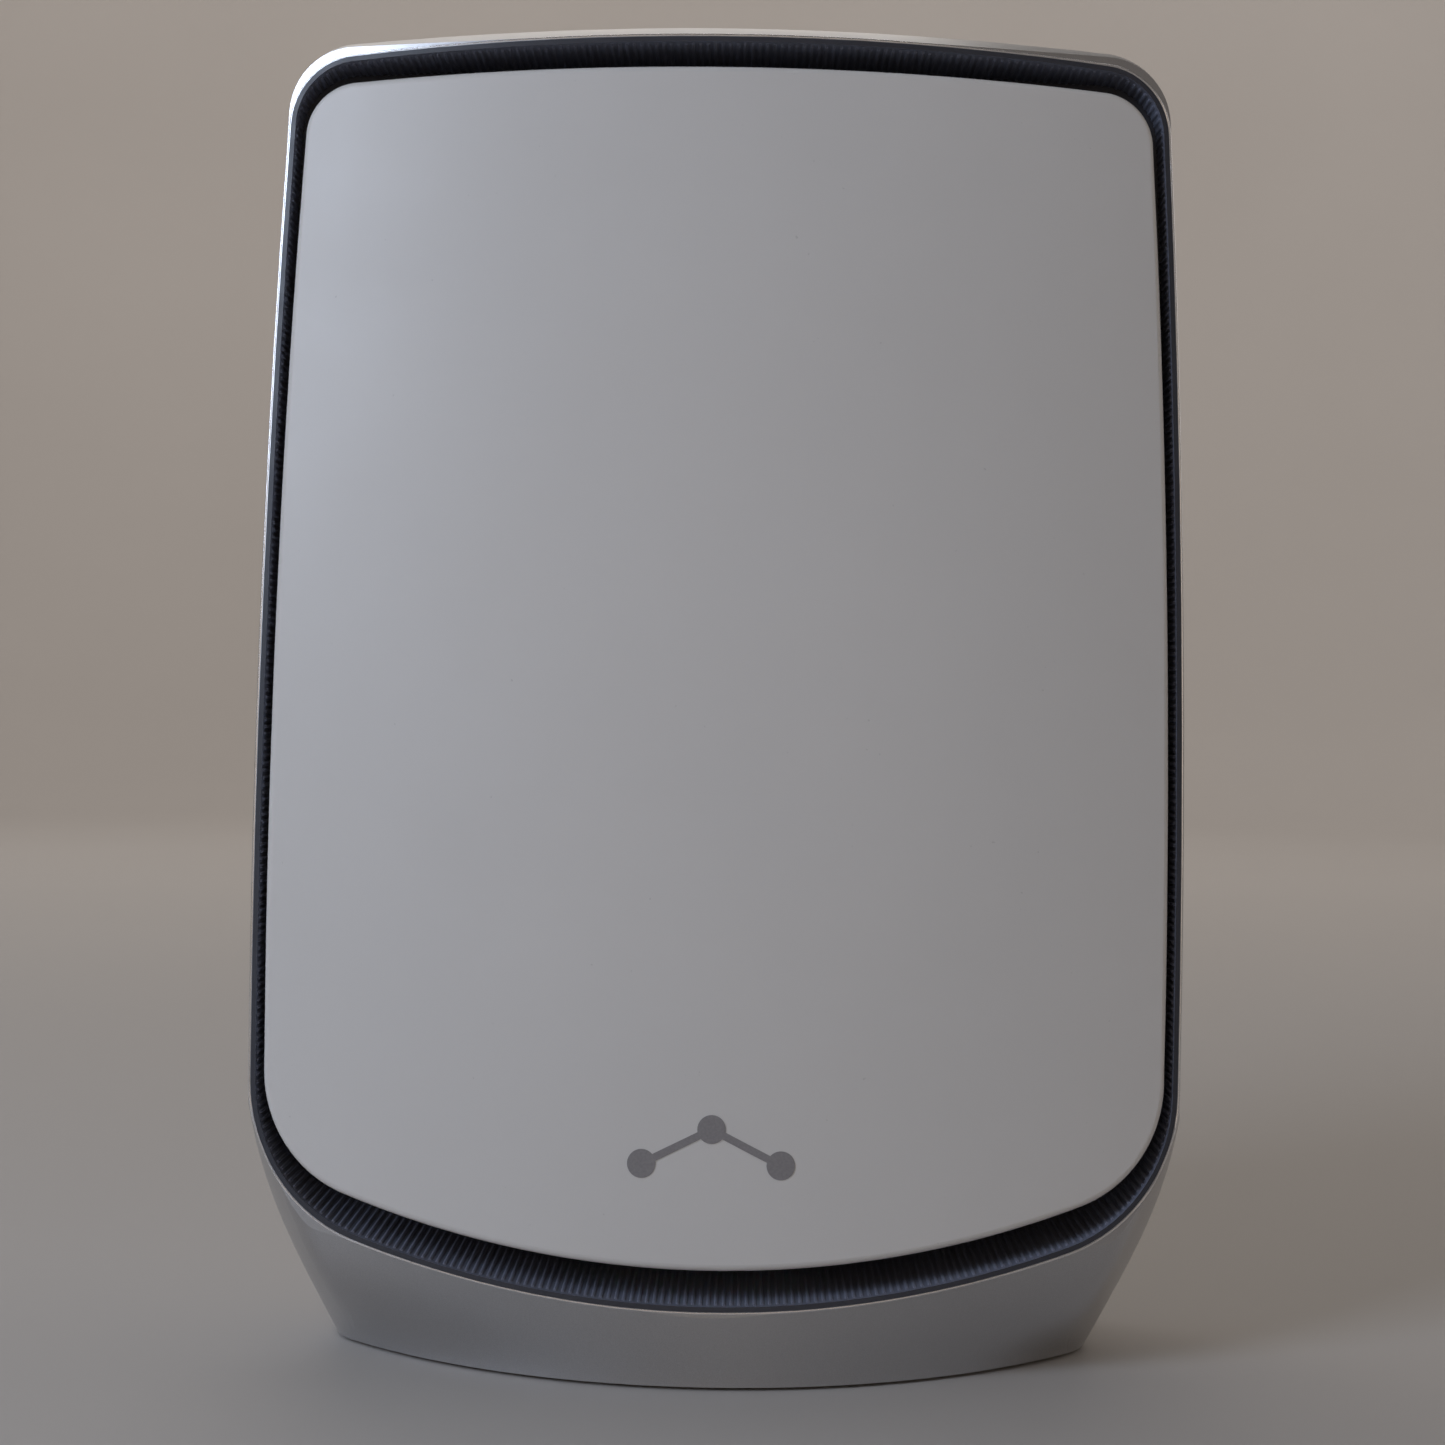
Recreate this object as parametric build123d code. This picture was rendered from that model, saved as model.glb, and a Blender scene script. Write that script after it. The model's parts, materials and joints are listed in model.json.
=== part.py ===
"""Mesh wifi node: a free-standing tower with two curved covers in a silver sleeve.

Frame: +Z up, the front faces -Y, the origin is on the floor under the middle of the foot.
All sizes are in millimetres.
"""
import os
from math import atan, degrees, hypot, sqrt

from build123d import *

# ---------------------------------------------------------------- driving dimensions

WIDTH = 188.2
HEIGHT = 267.2
HALF_DEPTH = 38.0
LEAN = 0.066
FACE_SAG = 13.8
FOOT_Z = 0.7
WALL = 2.4
FIT_GAP = 0.15
TOUCH = 0.05

# Both faces are upright cylinders that lean inwards as they rise.
FACE_R = (WIDTH / 2) ** 2 / (2 * FACE_SAG)
LEAN_ANGLE = degrees(atan(LEAN))
TALL = 900.0
DEEP = 70.0

# The opening of the sleeve, seen from the front.
LIP = dict(
    bottom_z=15.0, bottom_r=232.0, half_width=91.5, widest_z=116.0, side_r=2745.0,
    top_z=260.7, top_r=1390.0, low_corner=31.0, high_corner=13.3,
)

# The outline of each cover, seen from the front.
COVER = dict(
    bottom_z=22.6, bottom_r=228.0, half_width=88.7, widest_z=113.0, side_r=2370.0,
    top_z=254.7, top_r=1950.0, low_corner=24.5, high_corner=10.5,
)
COVER_PROUD = 0.6
COVER_THICK = 2.4
COVER_EDGE_R = 1.3
COVER_RIB = 1.2
COVER_RIB_DEEP = 3.0

# The sleeve's crown: its outline in the middle plane and near the lips.
CROWN_MIDDLE = dict(
    bottom_z=-20.0, bottom_r=3000.0, half_width=WIDTH / 2, widest_z=70.0, side_r=3490.0,
    top_z=HEIGHT, top_r=860.0, low_corner=4.0, high_corner=14.5,
)
CROWN_SIDE = dict(
    bottom_z=-20.0, bottom_r=3000.0, half_width=90.3, widest_z=60.0, side_r=3110.0,
    top_z=HEIGHT - 8.1, top_r=307.0, low_corner=4.0, high_corner=15.0,
)
CROWN_SIDE_Y = 24.0

# The base flares from a narrow foot: each level's plan is four arcs with rounded corners.
# (z, half_width, corner_x, corner_y, half_depth, corner_r)
BASE_LEVELS = (
    (FOOT_Z, 76.7, 72.0, 10.2, 36.4, 8.0),
    (16.0, 83.8, 74.5, 24.0, 37.2, 8.0),
    (22.0, 86.6, 77.0, 25.8, 37.6, 8.0),
    (30.0, 90.0, 80.5, 26.2, 38.5, 8.0),
    (42.0, 93.4, 85.5, 27.0, 40.8, 7.0),
    (57.0, 95.3, 89.1, 28.5, 43.4, 6.0),
    (75.0, 96.8, 90.0, 30.0, 46.4, 5.0),
)
BASE_CAVITY_TOP = 38.0

# Printed glyph, three joined dots, low in the middle of the front cover.
GLYPH_DOTS = ((-13.2, 42.6), (0.0, 49.2), (13.2, 42.6))
GLYPH_DOT_R = 2.7
GLYPH_BAR = 1.4
GLYPH_THICK = 0.12

# Liners, web and chassis.
LINER_WALL = 1.0
FLOOR_OUT = 2.6
FLOOR_THICK = 1.5
WEB_HALF = 1.0
WEB_REACH = 7.0
CORE_INSET = 5.0
CORE_WALL = 1.5
CHASSIS_INSET = 7.3
WINDOW_HALF = 58.0
WINDOW_Z = (52.0, 199.0)

# Main board.
PCB_HALF = 66.0
PCB_Z = (41.0, 190.0)
PCB_Y = (3.2, 4.8)
PCB_SCREW_X = 62.0
PCB_SCREW_Z = (47.0, 115.0, 184.0)
SCREW_R = 1.0
HEAD_R = 2.2
HEAD_H = 1.4
DRIVE_LONG = 2.6
DRIVE_WIDE = 0.6
DRIVE_DEEP = 0.9
STANDOFF_R = 3.0

# Ports, in a recessed bay low on the back.
BAY_HALF = 57.0
BAY_Z = (41.0, 62.5)
BAY_WALL = 1.5
BAY_CORNER = 3.5
PANEL_Y = (21.0, 23.0)
PORT_Z = (BAY_Z[0] + BAY_Z[1]) / 2
PORT_GAP = 0.2
JACK_W = 16.0
JACK_H = 13.5
JACK_X = (-26.7, -8.9, 8.9, 26.7)
PLUG_W = 11.9
PLUG_H = 8.0
PLUG_DEPTH = 12.5
PLUG_DROP = 0.6
LATCH_W = 6.2
LATCH_H = 2.2
CONTACT_PITCH = 1.02
CONTACT_TILT = -9.0
CONTACT_SIZE = (0.36, 9.0, 0.25)
CONTACT_RISE = 1.75
DC_X = -50.0
DC_W = 9.0
DC_H = 11.0
DC_BORE_R = 3.1
DC_BORE_DEPTH = 9.5
DC_PIN_R = 1.0
RESET_X = -40.0
RESET_STEM_R = 0.8
RESET_SUNK = 0.5
RESET_HEAD = 2.5
RESET_FLANGE = 0.6
PINHOLE_R = 1.1
POWER_LED_X = 39.4
PIPE_R = 1.2
PIPE_BACK = 1.2
PIPE_PROUD = 0.1
STATUS_LED = (2.0, 1.6, 0.9)
SYNC_X = 49.5
SYNC_R = 5.3
SYNC_CLEAR = 0.3
SYNC_PROUD = 0.6
SYNC_STEM_R = 1.7
SYNC_FLANGE = 1.1
SYNC_EDGE_R = 0.5
SWITCH_SIZE = 6.0
SWITCH_TALL = 3.5
SWITCH_FLOOR = 0.8
STEM_BACK = 1.8
BUTTON_BACK_Y = 19.4
TRANSFORMER_X = (-18.0, 18.0)
TRANSFORMER_Z = 65.5
TRANSFORMER_SIZE = (24.0, 7.0, 3.5)

# Cooling and shielding.
HEATSINK_BASE = 3.0
HEATSINK_SCREW_X = 40.0
HEATSINK_SCREW_Z = (79.0, 161.0)
CAN_TALL = 2.5
CAN_WALL = 0.4
CHIP_TALL = 1.2
PAD_THICK = 1.0
CHIP_SHARE = 0.55
INNER_PAD_SHARE = 0.5
OUTER_PAD_SHARE = 0.7
FRONT_SINK_FACE = PCB_Y[0] - CAN_TALL - PAD_THICK
REAR_SINK_FACE = PCB_Y[1] + CAN_TALL + PAD_THICK
FRONT_SINK = dict(half_width=44.0, z=(74.0, 166.0), fins=10, pitch=7.5, depth=17.0)
REAR_SINK = dict(half_width=56.0, z=(72.0, 182.0), fins=14, pitch=8.0, depth=10.5)
FIN_THICK = 1.4
SINK_SCREW_R = 1.25
SINK_HEAD_R = 2.4
SINK_HEAD_H = 1.8
FRONT_CANS = ((-17.0, 92.0, 30.0, 26.0), (17.0, 92.0, 30.0, 26.0), (0.0, 135.0, 62.0, 42.0))
REAR_CANS = ((-20.0, 140.0, 34.0, 34.0), (18.0, 104.0, 40.0, 36.0))

# Radio.
ANTENNA_THICK = 1.0
TOP_ANTENNA_X = (-54.0, -18.0, 18.0, 54.0)
TOP_ANTENNA_W = 24.0
TOP_ANTENNA_Z = (204.0, 240.0)
TOP_JACK_X = (-30.0, -10.0, 10.0, 30.0)
TOP_JACK_Z = 176.0
SIDE_ANTENNA_X = 74.0
SIDE_ANTENNA_W = 10.0
SIDE_ANTENNA_H = 30.0
SIDE_ANTENNA_Z = (100.0, 144.0)
SIDE_JACK_X = 50.5
TOP_FEED = 4.0
TOP_LEAD_DOWN = 9.0
TOP_LEAD_IN = 13.0
SIDE_FEED_X = 72.0
SIDE_LEAD_X = 58.5
SIDE_FEED = 8.0
SIDE_LEAD_DOWN = 6.0
SIDE_JACK_DROP = 18.0
COAX_BEND_R = 6.0
RF_JACK_R = 1.4
RF_JACK_TALL = 1.7
COAX_R = 0.6
COAX_Y = -2.7
COAX_PCB_Y = 2.1

# Light in the lower gap, and its lead.
LED_BOARD_X = (-29.0, 22.0)
LED_BOARD_Z = (19.8, 25.8)
LED_BOARD_THICK = 1.0
GUIDE_HALF = 21.0
GUIDE_Z = (20.6, 25.2)
GUIDE_DEPTH = 4.2
LED_CABLE_X = -25.5
LED_CABLE_R = 0.9
LED_CABLE_Y = -4.8
LED_CABLE_PCB_Y = 1.9
LED_CABLE_BEND_R = 9.0
LED_CABLE_BENDS_Z = (48.0, 58.0)
LED_PLUG_Z = 68.0
LED_PLUG_TALL = 4.5
LED_PLUG_HALF = 3.0
LED_PLUG_BACK_Y = 0.6

# Base plate and what is on it.
PLATE_THICK = 3.0
BOSS_X = (25.0, 58.0)
BOSS_TOP = (13.0, 18.0)
BOSS_R = 3.4
BOSS_CAP = 1.0
BASE_HEAD_SUNK = 0.2
PAD_X = 46.0
PAD_Y = 14.5
PAD_R = 5.5
PAD_SUNK = 1.3
SLOT_WIDE = 2.2
SLOT_LONG = 12.0
SLOT_PITCH = 5.0
SLOT_COUNT = 13
SLOT_ROW_Y = 22.0
LABEL_HALF = (18.0, 9.0)
LABEL_SUNK = 0.3
LABEL_GAP = 0.3


# ---------------------------------------------------------------- shared geometry

def half_width_at(z, spec):
    """Half-width of an outline's side arc at height z."""
    return spec["half_width"] - spec["side_r"] + sqrt(spec["side_r"] ** 2 - (z - spec["widest_z"]) ** 2)


def bottom_at(x, spec):
    """Height of an outline's bottom arc at x."""
    return spec["bottom_z"] + spec["bottom_r"] - sqrt(spec["bottom_r"] ** 2 - x ** 2)


def top_at(x, spec):
    """Height of an outline's top arc at x."""
    return spec["top_z"] - spec["top_r"] + sqrt(spec["top_r"] ** 2 - x ** 2)


def shrunk(spec, amount):
    """An outline's arcs moved inwards: each keeps its centre and loses some radius."""
    return dict(
        bottom_z=spec["bottom_z"] + amount, bottom_r=spec["bottom_r"] - amount,
        half_width=spec["half_width"] - amount, widest_z=spec["widest_z"],
        side_r=spec["side_r"] - amount,
        top_z=spec["top_z"] - amount, top_r=spec["top_r"] - amount,
        low_corner=spec["low_corner"] - amount, high_corner=spec["high_corner"] - amount,
    )


def outline(spec, shrink=0.0):
    """Front-view outline of four arcs with rounded corners, drawn in X and Z."""
    arcs = shrunk(spec, shrink)
    low_z = arcs["bottom_z"]
    high_z = arcs["top_z"]
    for _ in range(20):
        low_z = bottom_at(half_width_at(low_z, arcs), arcs)
        high_z = top_at(half_width_at(high_z, arcs), arcs)
    low_x = half_width_at(low_z, arcs)
    high_x = half_width_at(high_z, arcs)
    mid_z = (low_z + high_z) / 2
    mid_x = half_width_at(mid_z, arcs)
    edges = [
        ThreePointArc((-low_x, low_z), (0, arcs["bottom_z"]), (low_x, low_z)),
        ThreePointArc((low_x, low_z), (mid_x, mid_z), (high_x, high_z)),
        ThreePointArc((high_x, high_z), (0, arcs["top_z"]), (-high_x, high_z)),
        ThreePointArc((-high_x, high_z), (-mid_x, mid_z), (-low_x, low_z)),
    ]
    face = make_face(edges)
    by_height = face.vertices().sort_by(Axis.Y)
    face = fillet(by_height[:2], arcs["low_corner"])
    by_height = face.vertices().sort_by(Axis.Y)
    return fillet(by_height[-2:], arcs["high_corner"])


def prism(face):
    """An outline carried straight through the body along Y."""
    return extrude(Plane.XZ * face, amount=DEEP, both=True)


def front_form(grow):
    """Everything behind the leaning front face, grown outwards."""
    axis_y = FACE_R * sqrt(1 + LEAN ** 2) - HALF_DEPTH
    return Pos(0, axis_y, 0) * Rot(X=-LEAN_ANGLE) * Cylinder(FACE_R + grow, TALL)


def between_faces(grow):
    """The space between the front and the back face, grown outwards."""
    front = front_form(grow)
    return front & mirror(front, about=Plane.XZ)


def box_span(x, y, z):
    """A box given by its low and high value along each axis."""
    centre = Pos((x[0] + x[1]) / 2, (y[0] + y[1]) / 2, (z[0] + z[1]) / 2)
    return centre * Box(x[1] - x[0], y[1] - y[0], z[1] - z[0])


def half_space_front(y):
    """Everything in front of a plane."""
    return box_span((-WIDTH, WIDTH), (-2 * DEEP, y), (-10, HEIGHT + 10))


def rod_y(x, z, y, radius):
    """A round rod along Y from y[0] to y[1]."""
    return Pos(x, (y[0] + y[1]) / 2, z) * Rot(X=90) * Cylinder(radius, y[1] - y[0])


def rod_z(x, y, z, radius):
    """A round rod along Z from z[0] to z[1]."""
    return Pos(x, y, (z[0] + z[1]) / 2) * Cylinder(radius, z[1] - z[0])


def drive_recess():
    """Cross recess of a screw head, open towards -Z at the origin."""
    arm = box_span((-DRIVE_LONG / 2, DRIVE_LONG / 2), (-DRIVE_WIDE / 2, DRIVE_WIDE / 2), (-1, DRIVE_DEEP))
    return arm + Rot(Z=90) * arm


def group(solids):
    """Separate solids that share one node."""
    return Compound(children=[s.solid() if len(s.solids()) == 1 else s for s in solids])


def base_section(z, half_width, corner_x, corner_y, half_depth, corner_r):
    """Plan of the base at one level."""
    edges = [
        ThreePointArc((-corner_x, -corner_y), (0, -half_depth), (corner_x, -corner_y)),
        ThreePointArc((corner_x, -corner_y), (half_width, 0), (corner_x, corner_y)),
        ThreePointArc((corner_x, corner_y), (0, half_depth), (-corner_x, corner_y)),
        ThreePointArc((-corner_x, corner_y), (-half_width, 0), (-corner_x, -corner_y)),
    ]
    face = make_face(edges)
    return Pos(0, 0, z) * fillet(face.vertices(), corner_r)


def base_form(shrink):
    """The flared base, with its sides moved inwards by an amount."""
    sections = []
    for z, half_width, corner_x, corner_y, half_depth, corner_r in BASE_LEVELS:
        length = hypot(corner_x, corner_y)
        sections.append(base_section(
            z, half_width - shrink, corner_x - shrink * corner_x / length,
            corner_y - shrink * corner_y / length, half_depth - shrink, corner_r,
        ))
    return loft(sections)


def crown_form():
    """The sleeve's crowned outer form, lofted from front to back and carried on past both lips."""
    middle = Plane.XZ * outline(CROWN_MIDDLE)
    front = Pos(0, -CROWN_SIDE_Y, 0) * (Plane.XZ * outline(CROWN_SIDE))
    back = Pos(0, CROWN_SIDE_Y, 0) * (Plane.XZ * outline(CROWN_SIDE))
    crown = loft([front, middle, back])
    return crown + extrude(front, amount=DEEP - CROWN_SIDE_Y) + extrude(back, amount=CROWN_SIDE_Y - DEEP)


LIP_FACE = outline(LIP)
COVER_FACE = outline(COVER)
LIP_PRISM = prism(LIP_FACE)
BACK_SCREW_INSET = 4.6
BACK_SCREWS = []
for screw_z in (80.0, 175.0):
    for screw_side in (-1, 1):
        BACK_SCREWS.append((screw_side * (half_width_at(screw_z, LIP) - BACK_SCREW_INSET), screw_z))
for screw_x in (-46.0, 46.0):
    BACK_SCREWS.append((screw_x, top_at(screw_x, LIP) - BACK_SCREW_INSET))
    BACK_SCREWS.append((screw_x, bottom_at(screw_x, LIP) + BACK_SCREW_INSET))


# ---------------------------------------------------------------- sleeve and base

def make_center_frame():
    """Silver sleeve and base in one moulding, with a web in the middle plane for the liners."""
    above_base = box_span((-WIDTH, WIDTH), (-DEEP, DEEP), (BASE_LEVELS[-1][0] - 0.5, HEIGHT + 5))
    outer = (base_form(0) + above_base) & crown_form() & between_faces(0)
    shell = outer - LIP_PRISM

    web_face = LIP_FACE - outline(LIP, WEB_REACH)
    web = prism(web_face) & box_span((-WIDTH, WIDTH), (-WEB_HALF, WEB_HALF), (0, HEIGHT))
    shell = shell + web

    cavity = base_form(WALL) & between_faces(-WALL)
    cavity = cavity & box_span((-WIDTH, WIDTH), (-DEEP, DEEP), (0, BASE_CAVITY_TOP))
    plate_top = FOOT_Z + PLATE_THICK
    middle_wall = box_span((-WIDTH, WIDTH), (-WEB_HALF, WEB_HALF), (plate_top, HEIGHT))
    shell = shell - (cavity - middle_wall)
    for x, top in zip(BOSS_X, BOSS_TOP):
        for side in (-1, 1):
            shell = shell + rod_z(side * x, 0, (plate_top, top), BOSS_R)
            shell = shell - rod_z(side * x, 0, (0, top - BOSS_CAP), SCREW_R + TOUCH)
    for x, z in BACK_SCREWS:
        shell = shell - rod_y(x, z, (-WEB_HALF, WEB_HALF), SCREW_R + TOUCH)
    return shell


def make_base_plate():
    """Dark plate that closes the foot, with vents, screw recesses and pockets for the pads."""
    level = box_span((-WIDTH, WIDTH), (-DEEP, DEEP), (0, FOOT_Z + PLATE_THICK))
    plate = base_form(WALL + FIT_GAP) & level
    for x in BOSS_X:
        for side in (-1, 1):
            plate = plate - rod_z(side * x, 0, (0, 10), SCREW_R + FIT_GAP)
            plate = plate - rod_z(side * x, 0, (0, FOOT_Z + HEAD_H + BASE_HEAD_SUNK), HEAD_R + FIT_GAP)
    for x in (-PAD_X, PAD_X):
        for y in (-PAD_Y, PAD_Y):
            plate = plate - rod_z(x, y, (0, FOOT_Z + PAD_SUNK), PAD_R + TOUCH)
    slot = box_span((-SLOT_WIDE / 2, SLOT_WIDE / 2), (-SLOT_LONG / 2, SLOT_LONG / 2), (0, 10))
    for column in range(SLOT_COUNT):
        x = (column - (SLOT_COUNT - 1) / 2) * SLOT_PITCH
        for y in (-SLOT_ROW_Y, SLOT_ROW_Y):
            plate = plate - Pos(x, y, 0) * slot
    half_x, half_y = LABEL_HALF
    return plate - box_span((-half_x, half_x), (-half_y, half_y), (0, FOOT_Z + LABEL_SUNK))


def make_rubber_feet():
    """Four round pads that stand a little proud of the foot."""
    pads = []
    for x in (-PAD_X, PAD_X):
        for y in (-PAD_Y, PAD_Y):
            pads.append(rod_z(x, y, (0, FOOT_Z + PAD_SUNK), PAD_R))
    return group(pads)


def make_base_screws():
    """Four pan-head screws that hold the base plate."""
    screws = []
    for x, top in zip(BOSS_X, BOSS_TOP):
        for side in (-1, 1):
            head_z = FOOT_Z + BASE_HEAD_SUNK
            head = rod_z(side * x, 0, (head_z, head_z + HEAD_H), HEAD_R)
            screw = head + rod_z(side * x, 0, (head_z + HEAD_H, top - 2 * BOSS_CAP), SCREW_R)
            screws.append(screw - Pos(side * x, 0, head_z) * drive_recess())
    return group(screws)


def make_rating_label():
    """Blank label in a shallow recess under the foot."""
    half_x = LABEL_HALF[0] - LABEL_GAP
    half_y = LABEL_HALF[1] - LABEL_GAP
    return box_span((-half_x, half_x), (-half_y, half_y), (FOOT_Z + TOUCH, FOOT_Z + LABEL_SUNK))


# ---------------------------------------------------------------- liners and covers

def make_front_liner():
    """Dark channel round the front cover: an outer wall, and a floor on the sleeve's web."""
    outer_wall = prism(outline(LIP, TOUCH) - outline(LIP, LINER_WALL)) & between_faces(0)
    floor = prism(outline(LIP, TOUCH) - outline(COVER, CORE_INSET + CORE_WALL))
    floor = floor & box_span((-WIDTH, WIDTH), (-FLOOR_OUT, 0), (0, HEIGHT))
    liner = (outer_wall + floor) & half_space_front(-WEB_HALF - TOUCH)
    for x, z in BACK_SCREWS:
        liner = liner - rod_y(x, z, (-FLOOR_OUT, 0), SCREW_R + TOUCH)
    return liner


def make_front_seat():
    """Ring that stands on the liner's floor and carries the cover."""
    wall = prism(outline(COVER, CORE_INSET) - outline(COVER, CORE_INSET + CORE_WALL))
    ring = wall & between_faces(COVER_PROUD - COVER_THICK - TOUCH)
    return ring & half_space_front(-FLOOR_OUT)


def cover_plate():
    """Curved plate with rounded front edges, and a rib inside that seats in the liner."""
    body = prism(COVER_FACE) & half_space_front(0) & between_faces(COVER_PROUD)
    front_edges = body.faces().sort_by(Axis.Y)[0].edges()
    body = fillet(front_edges, COVER_EDGE_R)
    plate = body - between_faces(COVER_PROUD - COVER_THICK)
    rib_out = outline(COVER, CORE_INSET + CORE_WALL + FIT_GAP)
    rib_in = outline(COVER, CORE_INSET + CORE_WALL + FIT_GAP + COVER_RIB)
    rib = prism(rib_out - rib_in) & half_space_front(0) & between_faces(COVER_PROUD - COVER_THICK / 2)
    return plate + (rib - between_faces(COVER_PROUD - COVER_THICK - COVER_RIB_DEEP))


def bay_face(grow, corner):
    """Rounded rectangle of the port bay, drawn in X and Z."""
    height = BAY_Z[1] - BAY_Z[0]
    return Pos(0, PORT_Z, 0) * RectangleRounded(2 * (BAY_HALF + grow), height + 2 * grow, corner)


def back_half(face):
    """A front-view face carried through the back half only."""
    return extrude(Plane.XZ * face, amount=-DEEP)


def make_rear_cover(front_cover):
    """Back cover: the front cover's mirror with an opening for the port bay."""
    cover = mirror(front_cover, about=Plane.XZ)
    return cover - back_half(bay_face(BAY_WALL + FIT_GAP, BAY_CORNER + BAY_WALL))


def make_front_badge():
    """Plain printed glyph low on the front cover: three joined dots."""
    glyph = Pos(*GLYPH_DOTS[0], 0) * Circle(GLYPH_DOT_R)
    for first, second in zip(GLYPH_DOTS[:-1], GLYPH_DOTS[1:]):
        glyph = glyph + trace(Line(first, second), line_width=GLYPH_BAR)
        glyph = glyph + Pos(*second, 0) * Circle(GLYPH_DOT_R)
    mark = extrude(Plane.XZ * glyph, amount=DEEP)
    return (mark & between_faces(COVER_PROUD + GLYPH_THICK)) - between_faces(COVER_PROUD)


# ---------------------------------------------------------------- inside

def make_chassis():
    """Flat carrier in the middle plane for the board and the antennas."""
    plate = prism(outline(LIP, CHASSIS_INSET))
    plate = plate & box_span((-WIDTH, WIDTH), (-WEB_HALF, WEB_HALF), (0, HEIGHT))
    plate = plate - box_span((-WINDOW_HALF, WINDOW_HALF), (-5, 5), WINDOW_Z)
    for x in (-PCB_SCREW_X, PCB_SCREW_X):
        for z in PCB_SCREW_Z:
            plate = plate + rod_y(x, z, (0, PCB_Y[0]), STANDOFF_R)
            plate = plate - rod_y(x, z, (-5, PCB_Y[0] + 1), SCREW_R + TOUCH)
    return plate


def make_main_pcb():
    """Main board, screwed to the back of the chassis."""
    board = box_span((-PCB_HALF, PCB_HALF), PCB_Y, PCB_Z)
    for x in (-PCB_SCREW_X, PCB_SCREW_X):
        for z in PCB_SCREW_Z:
            board = board - rod_y(x, z, (0, 10), SCREW_R + FIT_GAP)
    for x in (-HEATSINK_SCREW_X, HEATSINK_SCREW_X):
        for z in HEATSINK_SCREW_Z:
            board = board - rod_y(x, z, (0, 10), SINK_SCREW_R + FIT_GAP)
    return board


def back_screw(x, z, seat_y, tip_y):
    """Pan-head screw driven from the back: its head stands on seat_y and its shank ends at tip_y."""
    head = rod_y(x, z, (seat_y, seat_y + HEAD_H), HEAD_R)
    recess = Pos(x, seat_y + HEAD_H, z) * Rot(X=90) * drive_recess()
    return head + rod_y(x, z, (tip_y, seat_y), SCREW_R) - recess


def make_pcb_screws():
    """Six pan-head screws that hold the main board."""
    screws = []
    for x in (-PCB_SCREW_X, PCB_SCREW_X):
        for z in PCB_SCREW_Z:
            screws.append(back_screw(x, z, PCB_Y[1], -WEB_HALF))
    return group(screws)


def make_frame_screws():
    """Eight screws from the back that clamp both liners to the sleeve's web."""
    screws = []
    for x, z in BACK_SCREWS:
        screws.append(back_screw(x, z, FLOOR_OUT, -FLOOR_OUT))
    return group(screws)


def can_positions():
    """Every shielding can as (x, z, width, height, board face y, direction away from the board)."""
    places = [(*can, PCB_Y[0], -1) for can in FRONT_CANS]
    return places + [(*can, PCB_Y[1], 1) for can in REAR_CANS]


def layer(x, z, width, height, face_y, away, low, high):
    """A flat block over a spot on the board, between two distances from its face."""
    ends = sorted((face_y + away * low, face_y + away * high))
    return box_span((x - width / 2, x + width / 2), ends, (z - height / 2, z + height / 2))


def make_shield_cans():
    """Thin metal boxes over the radio and processor areas."""
    cans = []
    for x, z, width, height, face_y, away in can_positions():
        box = layer(x, z, width, height, face_y, away, 0, CAN_TALL)
        hollow = layer(
            x, z, width - 2 * CAN_WALL, height - 2 * CAN_WALL, face_y, away, 0, CAN_TALL - CAN_WALL,
        )
        cans.append(box - hollow)
    return group(cans)


def make_board_chips():
    """One large chip under each can."""
    chips = []
    for x, z, width, height, face_y, away in can_positions():
        side = min(width, height) * CHIP_SHARE
        chips.append(layer(x, z, side, side, face_y, away, 0, CHIP_TALL))
    return group(chips)


def make_thermal_pads():
    """Soft pads from each chip to its can, and from the can to the heatsink."""
    pads = []
    for x, z, width, height, face_y, away in can_positions():
        inner = min(width, height) * INNER_PAD_SHARE
        outer = min(width, height) * OUTER_PAD_SHARE
        pads.append(layer(x, z, inner, inner, face_y, away, CHIP_TALL, CAN_TALL - CAN_WALL))
        pads.append(layer(x, z, outer, outer, face_y, away, CAN_TALL, CAN_TALL + PAD_THICK))
    return group(pads)


def heatsink(sink, face_y, away):
    """Flat base with upright fins on its far side and four screw holes."""
    edge_y = face_y + away * HEATSINK_BASE
    tip_y = face_y + away * sink["depth"]
    body = box_span((-sink["half_width"], sink["half_width"]), sorted((face_y, edge_y)), sink["z"])
    for index in range(sink["fins"]):
        x = (index - (sink["fins"] - 1) / 2) * sink["pitch"]
        body = body + box_span((x - FIN_THICK / 2, x + FIN_THICK / 2), sorted((edge_y, tip_y)), sink["z"])
    for x in (-HEATSINK_SCREW_X, HEATSINK_SCREW_X):
        for z in HEATSINK_SCREW_Z:
            body = body - rod_y(x, z, sorted((face_y, edge_y)), SINK_SCREW_R + TOUCH)
    return body


def make_heatsink_screws():
    """Four long screws that draw both heatsinks together through the board."""
    screws = []
    head_y = FRONT_SINK_FACE - HEATSINK_BASE
    tip_y = REAR_SINK_FACE + HEATSINK_BASE - 0.2
    for x in (-HEATSINK_SCREW_X, HEATSINK_SCREW_X):
        for z in HEATSINK_SCREW_Z:
            head = rod_y(x, z, (head_y - SINK_HEAD_H, head_y), SINK_HEAD_R)
            recess = Pos(x, head_y - SINK_HEAD_H, z) * Rot(X=-90) * drive_recess()
            screws.append(head + rod_y(x, z, (head_y, tip_y), SINK_SCREW_R) - recess)
    return group(screws)


# ---------------------------------------------------------------- ports and buttons

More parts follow.
